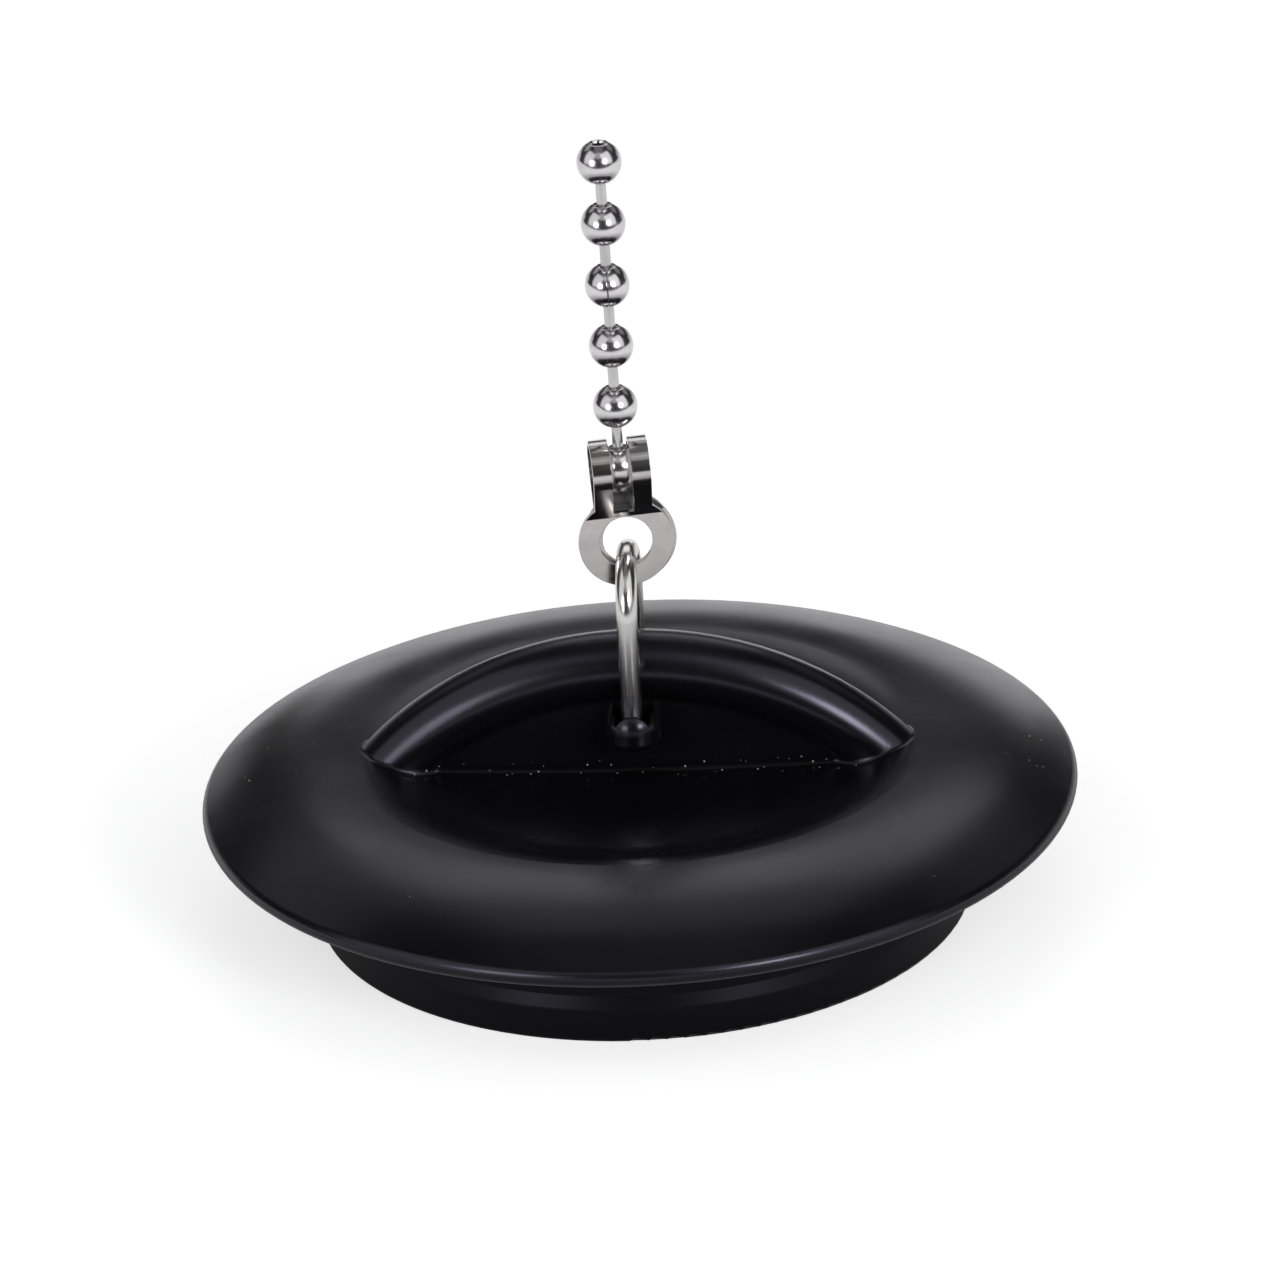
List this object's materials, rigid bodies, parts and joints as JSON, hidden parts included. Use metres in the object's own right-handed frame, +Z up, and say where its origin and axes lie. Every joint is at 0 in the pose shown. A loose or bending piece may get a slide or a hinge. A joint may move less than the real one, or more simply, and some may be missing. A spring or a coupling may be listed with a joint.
{
  "type": "drain stopper",
  "caption": "Round rubber drain plug with a wide rounded flange, an arched handle web, a swinging wire bail, a folded coupling and a ball chain.",
  "frame": {"origin": "on the plug's axis, in the plane of the plug's foot", "axes": "+Z up out of the drain, the handle web runs along X, the bail swings about Y, the picture's camera is on the -Y side"},
  "size_m": [0.06, 0.06, 0.0552],
  "materials": {
    "black_rubber": "satin moulded rubber",
    "bail_wire": "bright drawn stainless wire",
    "coupling_sheet": "nickel-plated sheet, satin leaves",
    "bead_steel": "bright nickel-plated steel"
  },
  "bodies": {
    "stopper_body": {"stopper_body": "black_rubber"},
    "wire_bail": {"wire_bail": "bail_wire"},
    "chain_coupling": {"chain_coupling": "coupling_sheet"},
    "held_bead": {"held_bead": "bead_steel"},
    "chain_link_1": {"chain_link_1": "bead_steel"},
    "chain_bead_1": {"chain_bead_1": "bead_steel"},
    "chain_link_2": {"chain_link_2": "bead_steel"},
    "chain_bead_2": {"chain_bead_2": "bead_steel"},
    "chain_link_3": {"chain_link_3": "bead_steel"},
    "chain_bead_3": {"chain_bead_3": "bead_steel"},
    "chain_link_4": {"chain_link_4": "bead_steel"},
    "chain_bead_4": {"chain_bead_4": "bead_steel"},
    "chain_link_5": {"chain_link_5": "bead_steel"},
    "chain_bead_5": {"chain_bead_5": "bead_steel"}
  },
  "joints": [
    {"name": "bail_swing", "type": "hinge", "parent": "stopper_body", "child": "wire_bail", "pos_m": [0, 0, 0.0139], "axis": [0, 1, 0], "range_deg": [-20, 20]},
    {"name": "coupling_swing", "type": "hinge", "parent": "wire_bail", "child": "chain_coupling", "pos_m": [0, 0, 0.0256], "axis": [0, -1, 0], "range_deg": [-110, 110]},
    {"name": "held_bead_swing", "type": "hinge", "parent": "chain_coupling", "child": "held_bead", "pos_m": [-0.0002, 0, 0.03205], "axis": [0.9872, 0.1564, 0.031], "range_deg": [-40, 60]},
    {"name": "link_1_tilt", "type": "hinge", "parent": "held_bead", "child": "chain_link_1", "pos_m": [-0.00021, 0, 0.03278], "axis": [-0.1564, 0.9877, -0.0016], "range_deg": [-12, 12]},
    {"name": "bead_1_tilt", "type": "hinge", "parent": "chain_link_1", "child": "chain_bead_1", "pos_m": [-0.00024, 0, 0.03567], "axis": [0.9876, 0.1564, 0.0103], "range_deg": [-15, 15]},
    {"name": "link_2_tilt", "type": "hinge", "parent": "chain_bead_1", "child": "chain_link_2", "pos_m": [-0.00026, 0, 0.03713], "axis": [0.1564, -0.9877, 0.0016], "range_deg": [-15, 15]},
    {"name": "bead_2_tilt", "type": "hinge", "parent": "chain_link_2", "child": "chain_bead_2", "pos_m": [-0.00029, 0, 0.04002], "axis": [-0.9876, -0.1564, -0.0103], "range_deg": [-15, 15]},
    {"name": "link_3_tilt", "type": "hinge", "parent": "chain_bead_2", "child": "chain_link_3", "pos_m": [-0.0003, 0, 0.04148], "axis": [-0.1564, 0.9877, -0.0016], "range_deg": [-15, 15]},
    {"name": "bead_3_tilt", "type": "hinge", "parent": "chain_link_3", "child": "chain_bead_3", "pos_m": [-0.00033, 0, 0.04437], "axis": [0.9876, 0.1564, 0.0103], "range_deg": [-15, 15]},
    {"name": "link_4_tilt", "type": "hinge", "parent": "chain_bead_3", "child": "chain_link_4", "pos_m": [-0.00035, 0, 0.04583], "axis": [0.1564, -0.9877, 0.0016], "range_deg": [-15, 15]},
    {"name": "bead_4_tilt", "type": "hinge", "parent": "chain_link_4", "child": "chain_bead_4", "pos_m": [-0.00038, 0, 0.04872], "axis": [-0.9876, -0.1564, -0.0103], "range_deg": [-15, 15]},
    {"name": "link_5_tilt", "type": "hinge", "parent": "chain_bead_4", "child": "chain_link_5", "pos_m": [-0.00039, 0, 0.05018], "axis": [-0.1564, 0.9877, -0.0016], "range_deg": [-15, 15]},
    {"name": "bead_5_tilt", "type": "hinge", "parent": "chain_link_5", "child": "chain_bead_5", "pos_m": [-0.00042, 0, 0.05307], "axis": [0.9876, 0.1564, 0.0103], "range_deg": [-15, 15]}
  ]
}
